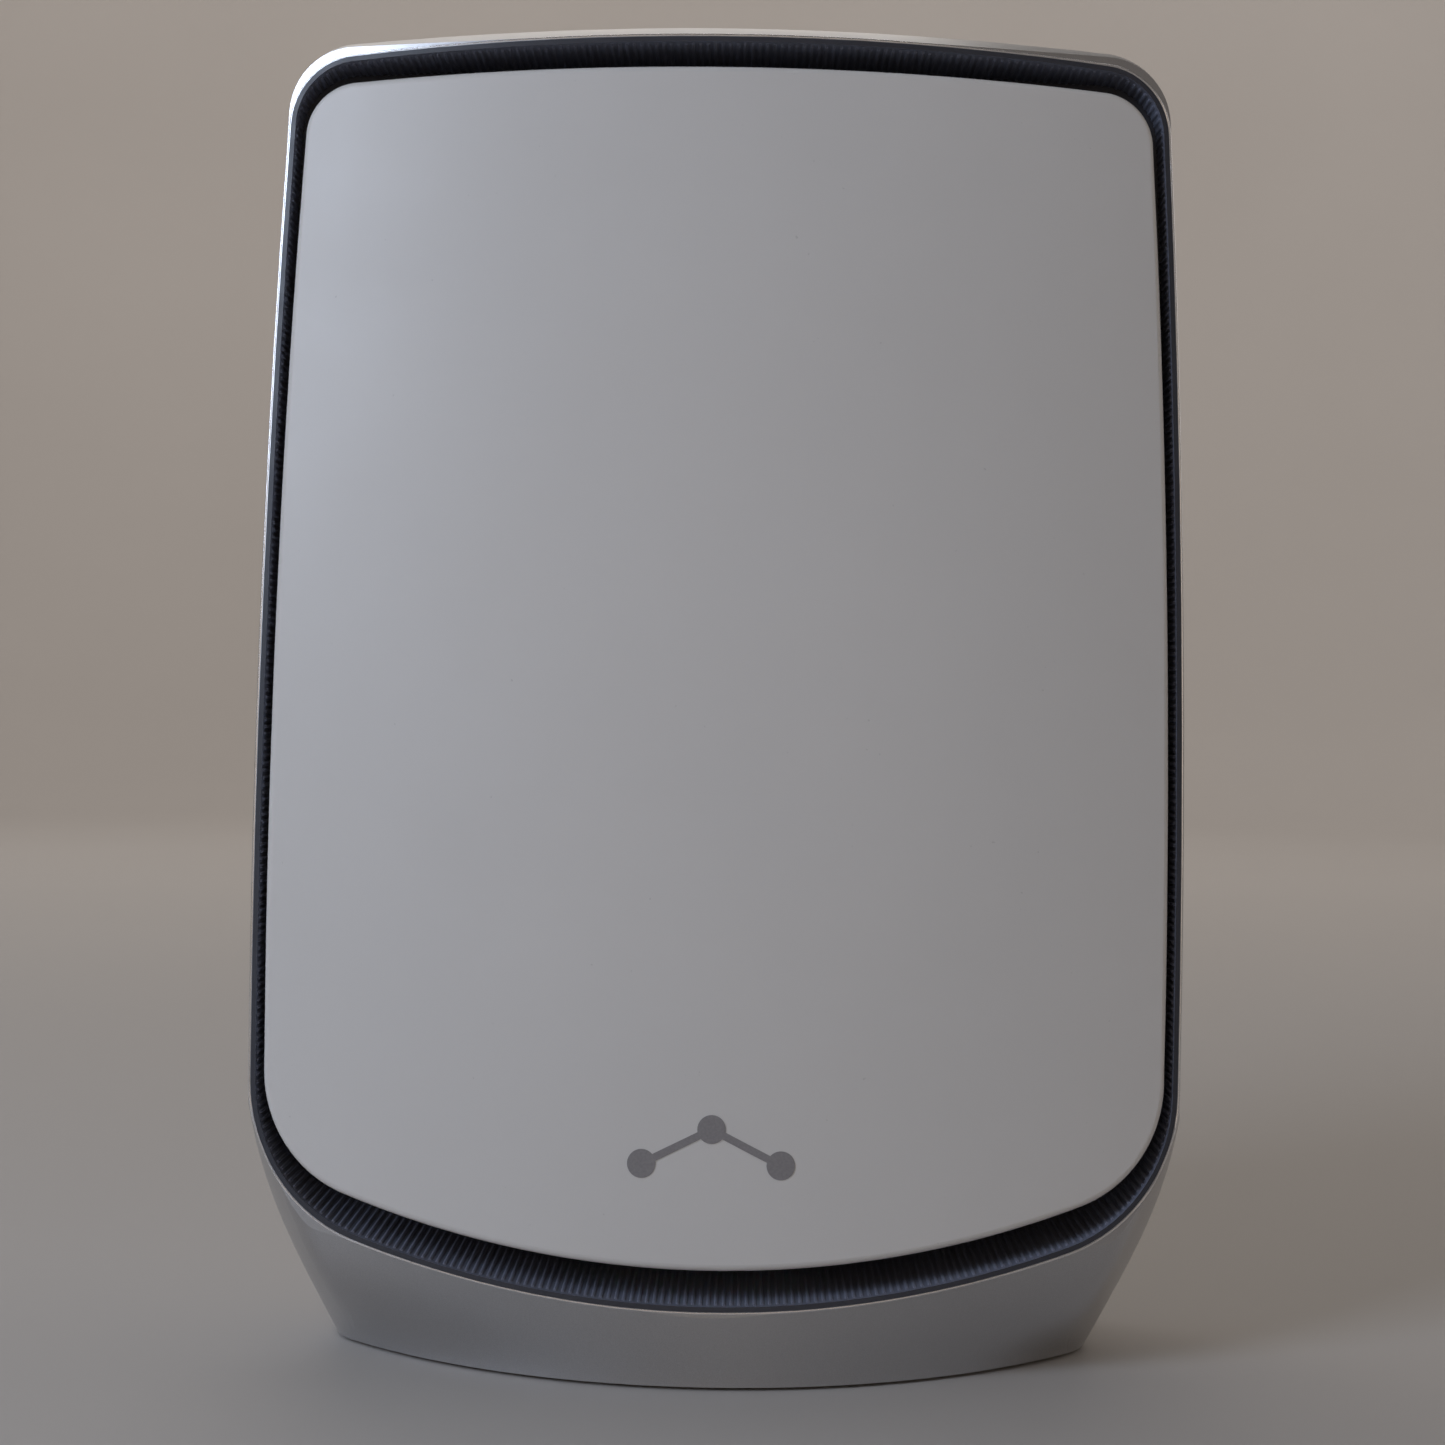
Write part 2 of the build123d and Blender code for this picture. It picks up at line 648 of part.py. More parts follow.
def make_io_panel():
    """Dark tub that lines the port bay, with an opening for each port and button."""
    tub = back_half(bay_face(BAY_WALL, BAY_CORNER + BAY_WALL)) & between_faces(COVER_PROUD - FIT_GAP)
    tub = tub & box_span((-WIDTH, WIDTH), (PANEL_Y[0], DEEP), (0, HEIGHT))
    hollow = back_half(bay_face(0, BAY_CORNER)) & box_span((-WIDTH, WIDTH), (PANEL_Y[1], DEEP), (0, HEIGHT))
    tub = tub - hollow
    through = (PANEL_Y[0] - 1, PANEL_Y[1] + 1)
    for x in JACK_X:
        tub = tub - window(x, JACK_W, JACK_H, through)
    tub = tub - window(DC_X, DC_W, DC_H, through)
    tub = tub - rod_y(RESET_X, PORT_Z, through, PINHOLE_R)
    tub = tub - rod_y(POWER_LED_X, PORT_Z, through, PIPE_R + TOUCH)
    return tub - rod_y(SYNC_X, PORT_Z, through, SYNC_R + SYNC_CLEAR)


def window(x, width, height, y):
    """A port's opening in the panel, with a small gap all round."""
    half_w = width / 2 + PORT_GAP
    half_h = height / 2 + PORT_GAP
    return box_span((x - half_w, x + half_w), y, (PORT_Z - half_h, PORT_Z + half_h))


def make_ethernet_jack(x):
    """Network socket: a block on the board with a plug cavity and a latch notch."""
    block = box_span((x - JACK_W / 2, x + JACK_W / 2), (PCB_Y[1], PANEL_Y[1]),
                     (PORT_Z - JACK_H / 2, PORT_Z + JACK_H / 2))
    mouth = (PANEL_Y[1] - PLUG_DEPTH, PANEL_Y[1])
    low = PORT_Z - PLUG_H / 2 - PLUG_DROP
    cavity = box_span((x - PLUG_W / 2, x + PLUG_W / 2), mouth, (low, low + PLUG_H))
    notch = box_span((x - LATCH_W / 2, x + LATCH_W / 2), mouth, (low + PLUG_H, low + PLUG_H + LATCH_H))
    return block - cavity - notch


def make_ethernet_contacts():
    """Eight slanting gold springs in each socket."""
    springs = []
    wide, long, thick = CONTACT_SIZE
    spring = Rot(X=CONTACT_TILT) * box_span((-wide / 2, wide / 2), (0, long), (0, thick))
    low = PORT_Z - PLUG_H / 2 - PLUG_DROP
    root_y = PANEL_Y[1] - PLUG_DEPTH + 0.1
    for x in JACK_X:
        for index in range(8):
            spring_x = x + (index - 3.5) * CONTACT_PITCH
            springs.append(Pos(spring_x, root_y, low + CONTACT_RISE) * spring)
    return group(springs)


def make_dc_jack():
    """Power inlet with a round bore."""
    block = box_span((DC_X - DC_W / 2, DC_X + DC_W / 2), (PCB_Y[1], PANEL_Y[1]),
                     (PORT_Z - DC_H / 2, PORT_Z + DC_H / 2))
    return block - rod_y(DC_X, PORT_Z, (PANEL_Y[1] - DC_BORE_DEPTH, PANEL_Y[1]), DC_BORE_R)


def make_dc_pin():
    """Centre pin of the power inlet."""
    return rod_y(DC_X, PORT_Z, (PANEL_Y[1] - DC_BORE_DEPTH, PANEL_Y[1] - 1), DC_PIN_R)


def make_switch(x, stem_r):
    """Small switch on the board, bored for its stem."""
    half = SWITCH_SIZE / 2
    body = box_span((x - half, x + half), (PCB_Y[1], PCB_Y[1] + SWITCH_TALL), (PORT_Z - half, PORT_Z + half))
    return body - rod_y(x, PORT_Z, (PCB_Y[1] + SWITCH_FLOOR, PCB_Y[1] + SWITCH_TALL), stem_r + SYNC_CLEAR)


def make_sync_button():
    """Round button cap with a flange behind the panel."""
    cap = rod_y(SYNC_X, PORT_Z, (BUTTON_BACK_Y, PANEL_Y[1] + SYNC_PROUD), SYNC_R)
    rim = cap.edges().sort_by(Axis.Y)[-1]
    cap = fillet(rim, SYNC_EDGE_R)
    return cap + rod_y(SYNC_X, PORT_Z, (BUTTON_BACK_Y, PANEL_Y[0] - SYNC_CLEAR), SYNC_R + SYNC_FLANGE)


def make_sync_stem():
    """Long stem between the button cap and its switch."""
    return rod_y(SYNC_X, PORT_Z, (PCB_Y[1] + STEM_BACK, BUTTON_BACK_Y), SYNC_STEM_R)


def make_reset_plunger():
    """Thin plunger that a pin reaches through the panel's pinhole."""
    tip_y = PANEL_Y[0] - RESET_SUNK
    plunger = rod_y(RESET_X, PORT_Z, (PCB_Y[1] + STEM_BACK, tip_y), RESET_STEM_R)
    return plunger + rod_y(RESET_X, PORT_Z, (tip_y - RESET_HEAD, tip_y), RESET_STEM_R + RESET_FLANGE)


def make_power_light_pipe():
    """Clear rod from the status light to the panel."""
    return rod_y(POWER_LED_X, PORT_Z, (PCB_Y[1] + PIPE_BACK, PANEL_Y[1] + PIPE_PROUD), PIPE_R)


def make_status_led():
    """Small light on the board behind the light pipe."""
    wide, high, thick = STATUS_LED
    return layer(POWER_LED_X, PORT_Z, wide, high, PCB_Y[1], 1, 0, thick)


def make_lan_transformers():
    """Two isolating transformers above the network sockets."""
    wide, high, thick = TRANSFORMER_SIZE
    blocks = []
    for x in TRANSFORMER_X:
        blocks.append(layer(x, TRANSFORMER_Z, wide, high, PCB_Y[1], 1, 0, thick))
    return group(blocks)


# ---------------------------------------------------------------- light in the lower gap

def make_led_board():
    """Narrow board on the channel's floor under the front cover."""
    back = -FLOOR_OUT - 2 * TOUCH
    return box_span(LED_BOARD_X, (back - LED_BOARD_THICK, back), LED_BOARD_Z)


def make_light_guide():
    """Milky bar over the lights."""
    back = -FLOOR_OUT - LED_BOARD_THICK - 3 * TOUCH
    return box_span((-GUIDE_HALF, GUIDE_HALF), (back - GUIDE_DEPTH, back), GUIDE_Z)


def make_led_cable():
    """Lead from the light board up to the main board, through a hole in the channel's inner wall."""
    low_bend_z, high_bend_z = LED_CABLE_BENDS_Z
    path = FilletPolyline(
        (LED_CABLE_X, LED_CABLE_Y, sum(LED_BOARD_Z) / 2),
        (LED_CABLE_X, LED_CABLE_Y, low_bend_z),
        (LED_CABLE_X, LED_CABLE_PCB_Y, high_bend_z),
        (LED_CABLE_X, LED_CABLE_PCB_Y, LED_PLUG_Z - 2 * TOUCH),
        radius=LED_CABLE_BEND_R,
    )
    start = Plane(path @ 0, z_dir=path % 0)
    return sweep(start * Circle(LED_CABLE_R), path=path)


def make_led_plug():
    """Plug and socket on the main board for the light board's lead."""
    span_z = (LED_PLUG_Z, LED_PLUG_Z + LED_PLUG_TALL)
    span_x = (LED_CABLE_X - LED_PLUG_HALF, LED_CABLE_X + LED_PLUG_HALF)
    return box_span(span_x, (LED_PLUG_BACK_Y, PCB_Y[0]), span_z)


# ---------------------------------------------------------------- radio

def antenna_places():
    """Every antenna and its lead: board corners, feed point, route corners and socket."""
    places = []
    for x, jack_x in zip(TOP_ANTENNA_X, TOP_JACK_X):
        span_x = (x - TOP_ANTENNA_W / 2, x + TOP_ANTENNA_W / 2)
        feed_z = TOP_ANTENNA_Z[0] + TOP_FEED
        route = [
            (x, COAX_Y, feed_z),
            (x, COAX_Y, feed_z - TOP_LEAD_DOWN),
            (jack_x, COAX_PCB_Y, TOP_JACK_Z + TOP_LEAD_IN),
            (jack_x, COAX_PCB_Y, TOP_JACK_Z + RF_JACK_R + TOUCH),
        ]
        places.append((span_x, TOP_ANTENNA_Z, route, (jack_x, TOP_JACK_Z)))
    for side in (-1, 1):
        for low_z in SIDE_ANTENNA_Z:
            x = side * SIDE_ANTENNA_X
            span_x = (x - SIDE_ANTENNA_W / 2, x + SIDE_ANTENNA_W / 2)
            feed_z = low_z + SIDE_FEED
            socket = (side * SIDE_JACK_X, feed_z - SIDE_JACK_DROP)
            route = [
                (side * SIDE_FEED_X, COAX_Y, feed_z),
                (side * SIDE_LEAD_X, COAX_Y, feed_z),
                (socket[0], COAX_PCB_Y, feed_z - SIDE_LEAD_DOWN),
                (socket[0], COAX_PCB_Y, socket[1] + RF_JACK_R + TOUCH),
            ]
            places.append((span_x, (low_z, low_z + SIDE_ANTENNA_H), route, socket))
    return places


def make_antenna(span_x, span_z):
    """Flat antenna board on the chassis."""
    return box_span(span_x, (-WEB_HALF - ANTENNA_THICK, -WEB_HALF), span_z)


def make_coax(route):
    """Antenna lead as one tube along its route."""
    path = FilletPolyline(*route, radius=COAX_BEND_R)
    start = Plane(path @ 0, z_dir=path % 0)
    return sweep(start * Circle(COAX_R), path=path)


def make_rf_jacks(places):
    """Small round sockets on the main board for the antenna leads."""
    jacks = []
    for _, _, _, (x, z) in places:
        jacks.append(rod_y(x, z, (PCB_Y[0] - RF_JACK_TALL, PCB_Y[0]), RF_JACK_R))
    return group(jacks)


# ---------------------------------------------------------------- write every node

def build_nodes():
    """All sub-parts by node name."""
    front_cover = cover_plate()
    front_liner = make_front_liner()
    front_seat = make_front_seat()
    cable_hole = rod_z(LED_CABLE_X, LED_CABLE_Y, (LED_BOARD_Z[1], LED_BOARD_Z[1] + 14), LED_CABLE_R + 0.4)
    nodes = {
        "center_frame": make_center_frame(),
        "base_plate": make_base_plate(),
        "rubber_feet": make_rubber_feet(),
        "base_screws": make_base_screws(),
        "rating_label": make_rating_label(),
        "front_cover": front_cover,
        "rear_cover": make_rear_cover(front_cover),
        "front_badge": make_front_badge(),
        "front_vent_liner": front_liner,
        "rear_vent_liner": mirror(front_liner, about=Plane.XZ),
        "front_cover_seat": front_seat - cable_hole,
        "rear_cover_seat": mirror(front_seat, about=Plane.XZ),
        "frame_screws": make_frame_screws(),
        "inner_chassis": make_chassis(),
        "main_pcb": make_main_pcb(),
        "pcb_screws": make_pcb_screws(),
        "shield_cans": make_shield_cans(),
        "board_chips": make_board_chips(),
        "thermal_pads": make_thermal_pads(),
        "front_heatsink": heatsink(FRONT_SINK, FRONT_SINK_FACE, -1),
        "rear_heatsink": heatsink(REAR_SINK, REAR_SINK_FACE, 1),
        "heatsink_screws": make_heatsink_screws(),
        "io_panel": make_io_panel(),
        "ethernet_contacts": make_ethernet_contacts(),
        "dc_jack": make_dc_jack(),
        "dc_jack_pin": make_dc_pin(),
        "sync_switch": make_switch(SYNC_X, SYNC_STEM_R),
        "sync_switch_stem": make_sync_stem(),
        "sync_button": make_sync_button(),
        "reset_switch": make_switch(RESET_X, RESET_STEM_R),
        "reset_plunger": make_reset_plunger(),
        "power_light_pipe": make_power_light_pipe(),
        "status_led": make_status_led(),
        "lan_transformers": make_lan_transformers(),
        "led_board": make_led_board(),
        "light_guide": make_light_guide(),
        "led_cable": make_led_cable(),
        "led_cable_plug": make_led_plug(),
    }
    for number, x in enumerate(JACK_X, start=1):
        nodes[f"ethernet_jack_{number}"] = make_ethernet_jack(x)
    places = antenna_places()
    nodes["rf_jacks"] = make_rf_jacks(places)
    for number, (span_x, span_z, route, _) in enumerate(places, start=1):
        nodes[f"antenna_{number}"] = make_antenna(span_x, span_z)
        nodes[f"coax_{number}"] = make_coax(route)
    return nodes


os.makedirs("parts", exist_ok=True)
for name, shape in build_nodes().items():
    export_step(shape, f"parts/{name}.step")
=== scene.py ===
"""Looks for the mesh wifi node: materials, vent ribs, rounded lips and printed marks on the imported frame.

Frame: +Z up, the front faces -Y, the origin is under the middle of the foot. All sizes are in metres.
"""

import json
from math import cos, pi, radians, sin

import bmesh
import bpy
from mathutils import Matrix, Vector
from mathutils.bvhtree import BVHTree


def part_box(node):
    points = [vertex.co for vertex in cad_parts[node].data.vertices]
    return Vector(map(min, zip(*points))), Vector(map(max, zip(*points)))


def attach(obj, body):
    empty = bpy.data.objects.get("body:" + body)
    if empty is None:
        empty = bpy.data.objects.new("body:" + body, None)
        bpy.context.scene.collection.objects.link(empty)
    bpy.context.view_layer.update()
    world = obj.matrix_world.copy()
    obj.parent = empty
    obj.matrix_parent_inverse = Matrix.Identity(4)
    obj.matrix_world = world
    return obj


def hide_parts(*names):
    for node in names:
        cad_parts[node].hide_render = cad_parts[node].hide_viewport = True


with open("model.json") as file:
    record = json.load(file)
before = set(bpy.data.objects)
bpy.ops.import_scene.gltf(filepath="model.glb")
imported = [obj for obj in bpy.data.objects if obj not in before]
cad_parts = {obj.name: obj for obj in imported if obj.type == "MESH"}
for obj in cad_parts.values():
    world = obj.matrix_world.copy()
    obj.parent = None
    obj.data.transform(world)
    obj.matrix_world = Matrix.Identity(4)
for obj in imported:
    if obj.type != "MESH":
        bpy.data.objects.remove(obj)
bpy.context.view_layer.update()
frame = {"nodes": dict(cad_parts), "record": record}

MM = 0.001

# ---------------------------------------------------------------- driving values

# Camera, fitted to the photograph. Angles are in degrees.
CAMERA_ASIDE = 4.5 * MM
CAMERA_AWAY = 432.0 * MM
CAMERA_HEIGHT = 126.4 * MM
CAMERA_YAW = -0.53
CAMERA_PITCH = -0.03
CAMERA_ROLL = 0.92
LENS_MM = 52.26
SENSOR_MM = 36.0

# Vent ribs and the liner walls that carry them.
RIB_PITCH = 1.46 * MM
RIB_HEIGHT = 0.26 * MM
RIB_RIM = 1.2 * MM
RIB_SUNK = 0.12 * MM
RIB_HALF = 0.42 * MM
RIB_POINTS = 7
LINER_FLOOR_Y = 2.6 * MM
LINER_WALL = 1.0 * MM
# Painted light: the channel's walls are coloured this many times lighter, to stand in for the light their
# shade keeps off.
WALL_PAINTED_LIGHT = 5.0

# Rounded lip of the silver sleeve, along the edge of its opening.
LIP_R = 0.32 * MM
LIP_OUT = 0.30 * MM
LIP_PROUD = 0.07 * MM
LIP_STEP = 1.5 * MM
LIP_SIDES = 10
# Painted highlight: the lip's silver is coloured this many times lighter, to stand in for light caught by the
# edge.
LIP_PAINTED_HIGHLIGHT = 1.6

# Printed marks and small lights in the port bay.
PRINT_THICK = 0.05 * MM
PRINT_LINE = 0.28 * MM
MARK_ABOVE = 2.1 * MM
PORT_LIGHT = (2.2 * MM, 1.5 * MM)
PORT_LIGHT_ASIDE = 4.7 * MM
PORT_LIGHT_UNDER = 1.55 * MM
PORT_LIGHT_DEEP = 0.6 * MM
PORT_LIGHT_SUNK = 0.2 * MM
PORT_LIGHT_EDGE = 0.08 * MM
MARK_SIZE = 0.95 * MM
MARK_BOX = 0.42 * MARK_SIZE
RESET_RING_INSIDE = 0.9 * MM
ARROW_R = 2.1 * MM
ARROW_LINE = 0.42 * MM
ROUND_STEPS = 24
LABEL_MARGIN = 1.2 * MM

# Rubber feet.
PAD_R = 5.5 * MM
PAD_GROOVES = (4.2 * MM, 2.6 * MM)
GROOVE_MOUTH = 0.25 * MM
GROOVE_FLOOR = 0.1 * MM
GROOVE_DEEP = 0.3 * MM
PAD_SIDES = 64
SHARP_ANGLE = radians(40)

# Studio bowl: a flat floor whose rim curves up into a wall.
FLOOR_R = 2.2
RIM_R = 1.2
WALL_TOP = 2.6
BOWL_SIDES = 128
FLOOR_RINGS = 8
RIM_STEPS = 20

# Lights on the wall, in watts: behind the object, and on the other three sides.
BACK_WASH = 32
SIDE_WASH = 8
WASH_AT = (1.3, 2.3)
WASH_TO = (3.4, 0.5)
LIGHT_TARGET = (0, 0, 0.14)


# ---------------------------------------------------------------- node graphs

class Graph:
    """A material's node tree, with short ways to add and join nodes."""

    def __init__(self, name):
        self.material = bpy.data.materials.new(name)
        self.material.use_nodes = True
        self.tree = self.material.node_tree
        self.shader = self.tree.nodes["Principled BSDF"]
        self.place = self.add("TexCoord").outputs["Object"]

    def put(self, socket, value):
        """Joins an output to a socket, or sets the socket's own value."""
        if isinstance(value, bpy.types.NodeSocket):
            self.tree.links.new(value, socket)
        else:
            socket.default_value = value

    def add(self, kind, inputs=None, **settings):
        node = self.tree.nodes.new("ShaderNode" + kind)
        for key, value in settings.items():
            setattr(node, key, value)
        for key, value in (inputs or {}).items():
            self.put(node.inputs[key], value)
        return node

    def set(self, **values):
        """Shader sockets by name, with underscores for spaces."""
        for key, value in values.items():
            self.put(self.shader.inputs[key.replace("_", " ")], value)

    def noise(self, size, detail=2.0, stretch=(1, 1, 1), roughness=0.5):
        """Noise whose blobs are about that many metres wide, drawn out along an axis by stretch."""
        scale = [1 / (size * s) for s in stretch]
        mapping = self.add("Mapping", {"Vector": self.place, "Scale": scale})
        inputs = {"Vector": mapping.outputs[0], "Scale": 1.0, "Detail": detail, "Roughness": roughness}
        return self.add("TexNoise", inputs).outputs["Fac"]

    def ramp(self, value, low, high, from_low=0.3, from_high=0.7):
        inputs = {"Value": value, "From Min": from_low, "From Max": from_high, "To Min": low, "To Max": high}
        return self.add("MapRange", inputs).outputs["Result"]

    def mix(self, factor, first, second, blend="MIX"):
        node = self.add("Mix", data_type="RGBA", blend_type=blend)
        self.put(node.inputs[0], factor)
        self.put(node.inputs[6], first)
        self.put(node.inputs[7], second)
        return node.outputs[2]

    def bump(self, height, distance, strength=1.0, under=None):
        inputs = {"Height": height, "Distance": distance, "Strength": strength}
        if under is not None:
            inputs["Normal"] = under
        return self.add("Bump", inputs).outputs["Normal"]

    def edges(self, radius):
        """1 along sharp edges, 0 on open surfaces."""
        rounded = self.add("Bevel", {"Radius": radius}, samples=4).outputs["Normal"]
        plain = self.add("NewGeometry").outputs["Normal"]
        dot = self.add("VectorMath", operation="DOT_PRODUCT")
        self.put(dot.inputs[0], rounded)
        self.put(dot.inputs[1], plain)
        return self.ramp(dot.outputs["Value"], 1.0, 0.0, 0.90, 0.97)


def shade(color, factor):
    """A colour made lighter or darker, with full alpha."""
    return [min(1.0, c * factor) for c in color[:3]] + [1.0]


def moulded(name, color, gloss=0.5, grain=0.25 * MM, depth=0.01 * MM, tint=0.06, wear=1.25):
    """Moulded plastic: a fine texture, slight colour and gloss variation, and edges rubbed lighter."""
    g = Graph(name)
    broad = g.noise(28 * MM, 3.0)
    base = g.mix(g.ramp(broad, 0, 1), shade(color, 1 - tint), shade(color, 1 + tint))
    rubbed = g.add("Math", operation="MULTIPLY")
    g.put(rubbed.inputs[0], g.edges(0.3 * MM))
    g.put(rubbed.inputs[1], g.ramp(g.noise(3 * MM, 4.0), 0.1, 0.8))
    base = g.mix(rubbed.outputs[0], base, shade(color, wear))
    g.set(Base_Color=base, Roughness=g.ramp(g.noise(6 * MM, 4.0), gloss - 0.05, gloss + 0.05))
    g.set(Normal=g.bump(g.noise(grain, 2.0), depth, 0.6))
    return g


def white_shell(name, color):
    """Warm white satin shell: a barely visible grain, faint finger smudges and a few darker specks of dirt.
    """
    g = Graph(name)
    mottle = g.ramp(g.noise(45 * MM, 3.0), 0, 1)
    base = g.mix(mottle, shade(color, 0.985), shade(color, 1.01))
    specks = g.ramp(g.noise(1.1 * MM, 1.0), 0, 1, 0.80, 0.84)
    base = g.mix(specks, base, shade(color, 0.86))
    smudge = g.ramp(g.noise(32 * MM, 5.0, roughness=0.6), 0.37, 0.44, 0.40, 0.62)
    g.set(Base_Color=base, Roughness=smudge, Coat_Weight=0.12, Coat_Roughness=0.3)
    grain = g.bump(g.noise(0.35 * MM, 2.0), 0.012 * MM, 0.5)
    g.set(Normal=g.bump(g.noise(60 * MM, 1.0), 0.05 * MM, 0.2, under=grain))
    return g


def silver_shell(name, color):
    """Satin silver lacquer: fine metal flake, soft uneven gloss, edges a little brighter."""
    g = Graph(name)
    base = g.mix(g.ramp(g.noise(30 * MM, 3.0), 0, 1), shade(color, 0.97), shade(color, 1.03))
    flake = g.ramp(g.noise(0.16 * MM, 1.0), 0, 1, 0.35, 0.65)
    base = g.mix(flake, base, shade(color, 1.12))
    base = g.mix(g.edges(0.3 * MM), base, shade(color, 1.25))
    gloss = g.ramp(g.noise(14 * MM, 4.0, stretch=(3, 3, 1)), 0.30, 0.38)
    g.set(Base_Color=base, Roughness=gloss, Metallic=0.92, Coat_Weight=0.25, Coat_Roughness=0.22)
    g.set(Normal=g.bump(g.noise(0.16 * MM, 1.0), 0.004 * MM, 0.5))
    return g


def lip_silver_painted_highlight(name, color):
    """The sleeve's silver along its edge: glossier, and painted lighter as a highlight where the rounded edge
    catches light.
    """
    g = silver_shell(name, shade(color, LIP_PAINTED_HIGHLIGHT))
    g.set(Roughness=g.ramp(g.noise(9 * MM, 3.0), 0.20, 0.28))
    return g


def liner_plastic(name, color):
    """Near-black blue satin plastic, with painted light: the channel's walls, which lie in shade, are
    coloured lighter, and the front-facing rim is not.
    """
    g = moulded(name, color, gloss=0.40, grain=0.2 * MM, tint=0.08, wear=1.3)
    plain_base = g.shader.inputs["Base Color"].links[0].from_socket
    facing = g.add("SeparateXYZ", {"Vector": g.add("NewGeometry").outputs["Normal"]}).outputs["Y"]
    steep = g.add("Math", operation="ABSOLUTE")
    g.put(steep.inputs[0], facing)
    # Painted light: faces that do not face front or back, the shaded channel walls, are mixed towards the
    # lighter colour.
    painted_light_mask = g.ramp(steep.outputs[0], 1.0, 0.0, 0.55, 0.85)
    g.set(Base_Color=g.mix(painted_light_mask, plain_base, shade(color, WALL_PAINTED_LIGHT)), Coat_Weight=0.1, Coat_Roughness=0.35)
    return g


def plain_plastic(name, color):
    return moulded(name, color, gloss=0.5)


def spark_plastic(name, color):
    """Dark plastic with the pebbled texture of a spark-eroded mould."""
    g = moulded(name, color, gloss=0.6, grain=0.5 * MM, depth=0.02 * MM, tint=0.08, wear=1.8)
    cells = g.add("TexVoronoi", {"Vector": g.place, "Scale": 1 / (0.45 * MM)}, feature="SMOOTH_F1")
    fine = g.bump(g.noise(0.15 * MM, 2.0), 0.006 * MM, 0.5)
    g.set(Normal=g.bump(cells.outputs["Distance"], 0.03 * MM, 0.5, under=fine))
    return g


def rubber(name, color):
    return moulded(name, color, gloss=0.85, grain=0.4 * MM, depth=0.02 * MM, tint=0.12, wear=1.5)


def gel_pad(name, color):
    """Soft silicone: matt, slightly see-through."""
    g = moulded(name, color, gloss=0.7, grain=0.6 * MM, depth=0.03 * MM, tint=0.05, wear=1.1)
    g.set(Subsurface_Weight=0.2, Subsurface_Scale=1.0 * MM)
    return g


def jacket(name, color):
    """Extruded cable jacket with a faint sheen and fine draw lines."""
    g = moulded(name, color, gloss=0.45, grain=0.3 * MM, depth=0.01 * MM, tint=0.08, wear=1.2)
    g.set(Sheen_Weight=0.1, Sheen_Roughness=0.5)
    return g


def steel(name, color):
    """Plated metal: slight colour drift in the plating and fine scratches both ways."""
    g = moulded(name, color, gloss=0.30, grain=0.2 * MM, depth=0.004 * MM, tint=0.06, wear=1.15)
    drift = g.mix(g.ramp(g.noise(4 * MM, 3.0), 0, 1), shade(color, 0.92), shade(color, 1.05))
    across = g.noise(0.12 * MM, 2.0, stretch=(12, 1, 1))
    along = g.noise(0.12 * MM, 2.0, stretch=(1, 1, 12))
    scratched = g.bump(along, 0.003 * MM, 0.4, under=g.bump(across, 0.003 * MM, 0.4))
    g.set(Base_Color=drift, Metallic=1.0, Normal=scratched)
    return g


def tinned(name, color):
    """Tinned sheet: faint crystal patches that differ in tone and gloss."""
    g = Graph(name)
    cells = g.add("TexVoronoi", {"Vector": g.place, "Scale": 1 / (3.5 * MM)}).outputs["Color"]
    tone = g.add("SeparateColor", {"Color": cells}).outputs[0]
    base = g.mix(tone, shade(color, 0.9), shade(color, 1.08))
    base = g.mix(g.edges(0.3 * MM), base, shade(color, 1.25))
    g.set(Base_Color=base, Roughness=g.ramp(tone, 0.26, 0.40, 0, 1), Metallic=1.0)
    g.set(Normal=g.bump(g.noise(0.5 * MM, 3.0), 0.01 * MM, 0.4))
    return g


def blasted(name, color):
    """Bead-blasted aluminium with faint extrusion lines up the fins."""
    g = Graph(name)
    base = g.mix(g.ramp(g.noise(12 * MM, 4.0), 0, 1), shade(color, 0.93), shade(color, 1.05))
    base = g.mix(g.edges(0.3 * MM), base, shade(color, 1.3))
    lines = g.noise(0.25 * MM, 2.0, stretch=(1, 1, 60))
    g.set(Base_Color=base, Metallic=1.0, Roughness=g.ramp(lines, 0.42, 0.55))
    beads = g.bump(g.noise(0.2 * MM, 2.0), 0.01 * MM, 0.6)
    g.set(Normal=g.bump(lines, 0.01 * MM, 0.4, under=beads))
    return g


def circuit_board(name, color):
    """Solder mask over faint copper tracks and round vias."""
    g = Graph(name)
    brick = {"Vector": g.place, "Scale": 320.0, "Mortar Size": 0.02}
    tracks = g.add("TexBrick", brick).outputs["Fac"]
    vias = g.add("TexVoronoi", {"Vector": g.place, "Scale": 1 / (2.6 * MM)}).outputs["Distance"]
    base = g.mix(g.ramp(tracks, 0.0, 0.5, 0, 1), shade(color, 1.0), shade(color, 1.5))
    base = g.mix(g.ramp(vias, 0.8, 0.0, 0.10, 0.14), base, [0.72, 0.62, 0.36, 1])
    base = g.mix(g.edges(0.3 * MM), base, [0.45, 0.42, 0.28, 1])
    g.set(Base_Color=base, Roughness=g.ramp(g.noise(2 * MM), 0.3, 0.45))
    g.set(Normal=g.bump(tracks, 0.03 * MM, 0.5), Coat_Weight=0.2, Coat_Roughness=0.15)
    return g


def epoxy(name, color):
    """Moulded chip package: matt, slightly speckled with filler."""
    return moulded(name, color, gloss=0.55, grain=0.1 * MM, depth=0.01 * MM, tint=0.15, wear=1.7)


